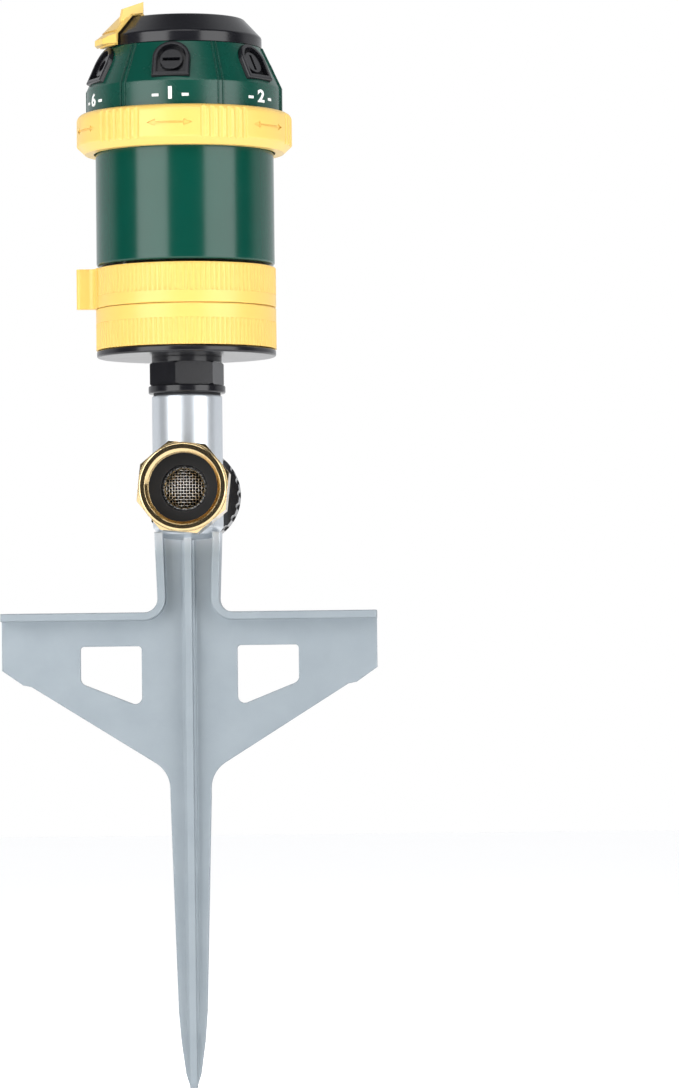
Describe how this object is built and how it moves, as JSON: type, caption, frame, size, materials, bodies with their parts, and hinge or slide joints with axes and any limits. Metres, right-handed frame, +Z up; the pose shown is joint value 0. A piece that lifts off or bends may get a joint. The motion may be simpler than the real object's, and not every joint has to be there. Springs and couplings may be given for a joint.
{
  "type": "turret lawn sprinkler",
  "caption": "Lawn sprinkler on a step-in spike: swivel hose inlet, arc stop collars, gear-driven barrel and a rotating turret of spray nozzles under a cap with a range deflector.",
  "frame": {"origin": "on the spike's axis at the top of the step plate, which is the ground line when the spike is pushed in", "axes": "+Z up along the spike and riser, -Y out of the hose inlet, X along the step wings"},
  "size_m": [0.1364, 0.0784, 0.3938],
  "materials": {
    "cast_metal": "painted silver, satin",
    "brass": "polished",
    "bronze": "plain",
    "stainless": "plain",
    "rubber": "matte",
    "black_plastic": "gloss",
    "yellow_plastic": "semi-gloss",
    "green_barrel": "gloss",
    "white_plastic": "plain",
    "grey_plastic": "plain"
  },
  "bodies": {
    "base": {"step_spike": "cast_metal", "inlet_tailpiece": "brass", "inlet_screen": "stainless", "inlet_washer": "rubber", "riser_gasket": "rubber", "inlet_adapter": "black_plastic", "base_housing": "black_plastic", "center_stem": "grey_plastic", "thrust_washer": "white_plastic", "sun_gear": "white_plastic", "stem_oring": "rubber", "stem_clip": "stainless"},
    "hose_nut": {"hose_nut": "brass"},
    "outlet_cap": {"outlet_cap": "black_plastic", "outlet_gasket": "rubber"},
    "lower_collar": {"lower_collar": "yellow_plastic"},
    "upper_collar": {"upper_collar": "yellow_plastic"},
    "barrel": {"barrel_shell": "green_barrel", "barrel_floor": "grey_plastic", "floor_bush": "bronze", "gear_plate": "grey_plastic", "gear_posts": "grey_plastic", "gear_screws": "stainless", "gear_shaft_a": "stainless", "gear_shaft_b": "stainless", "stator_cup": "white_plastic", "stator_cover": "white_plastic", "manifold_plate": "grey_plastic", "manifold_oring": "rubber", "port_seal": "rubber", "center_post": "grey_plastic", "detent_spring": "stainless", "turret_cap": "black_plastic", "cap_screw": "stainless"},
    "trip": {"trip_lever": "black_plastic", "trip_shaft": "stainless", "diverter_flap": "white_plastic"},
    "gear_1": {"gear_1": "white_plastic"},
    "gear_2": {"gear_2": "white_plastic"},
    "gear_3": {"gear_3": "white_plastic"},
    "turbine": {"turbine": "white_plastic"},
    "turret": {"turret_floor": "grey_plastic", "turret_shell": "green_barrel", "pattern_ring": "yellow_plastic", "bezel_flat": "black_plastic", "bezel_fan": "black_plastic", "bezel_jet": "black_plastic", "bezel_mist": "black_plastic", "bezel_shower": "black_plastic", "bezel_large": "black_plastic", "nozzle_flat": "black_plastic", "nozzle_fan": "black_plastic", "nozzle_jet": "black_plastic", "nozzle_mist": "black_plastic", "nozzle_shower": "black_plastic", "nozzle_large": "black_plastic"},
    "deflector": {"range_deflector": "yellow_plastic"}
  },
  "joints": [
    {"name": "head_turn", "type": "hinge", "parent": "base", "child": "barrel", "pos_m": [0, 0, 0.1262], "axis": [0, 0, 1], "range_deg": [-14, 200]},
    {"name": "upper_collar_turn", "type": "hinge", "parent": "base", "child": "upper_collar", "pos_m": [0, 0, 0.118], "axis": [0, 0, 1], "range_deg": [-110, 0]},
    {"name": "lower_collar_turn", "type": "hinge", "parent": "base", "child": "lower_collar", "pos_m": [0, 0, 0.103], "axis": [0, 0, 1], "range_deg": [0, 110]},
    {"name": "hose_nut_turn", "type": "hinge", "parent": "base", "child": "hose_nut", "pos_m": [0, -0.03, 0.044], "axis": [0, -1, 0], "continuous": true},
    {"name": "outlet_cap_unscrew", "type": "slide", "parent": "base", "child": "outlet_cap", "axis": [0, 1, 0], "range_m": [0, 0.03]},
    {"name": "turret_turn", "type": "hinge", "parent": "barrel", "child": "turret", "pos_m": [0, 0, 0.174], "axis": [0, 0, 1], "continuous": true},
    {"name": "deflector_swing", "type": "hinge", "parent": "barrel", "child": "deflector", "pos_m": [0, 0, 0.217], "axis": [0, 0, 1], "range_deg": [-25, 25]},
    {"name": "trip_swing", "type": "hinge", "parent": "barrel", "child": "trip", "pos_m": [-0.02119, -0.01127, 0.12], "axis": [0, 0, 1], "range_deg": [0, 24]},
    {"name": "gear_1_spin", "type": "hinge", "parent": "barrel", "child": "gear_1", "pos_m": [0.00235, -0.01674, 0.133], "axis": [0, 0, 1], "range_deg": [-50, 520]},
    {"name": "gear_2_spin", "type": "hinge", "parent": "barrel", "child": "gear_2", "pos_m": [-0.00944, -0.01402, 0.137], "axis": [0, 0, 1], "range_deg": [-1560, 150]},
    {"name": "gear_3_spin", "type": "hinge", "parent": "barrel", "child": "gear_3", "pos_m": [0.00235, -0.01674, 0.14], "axis": [0, 0, 1], "range_deg": [-450, 4680]},
    {"name": "turbine_spin", "type": "hinge", "parent": "barrel", "child": "turbine", "pos_m": [-0.00944, -0.01402, 0.15], "axis": [0, 0, 1], "range_deg": [-14040, 1350]}
  ],
  "couplings": [
    {"joint": "gear_1_spin", "follows": "head_turn", "ratio": 2.5},
    {"joint": "gear_2_spin", "follows": "head_turn", "ratio": -7.5},
    {"joint": "gear_3_spin", "follows": "head_turn", "ratio": 22.5},
    {"joint": "turbine_spin", "follows": "head_turn", "ratio": -67.5}
  ]
}
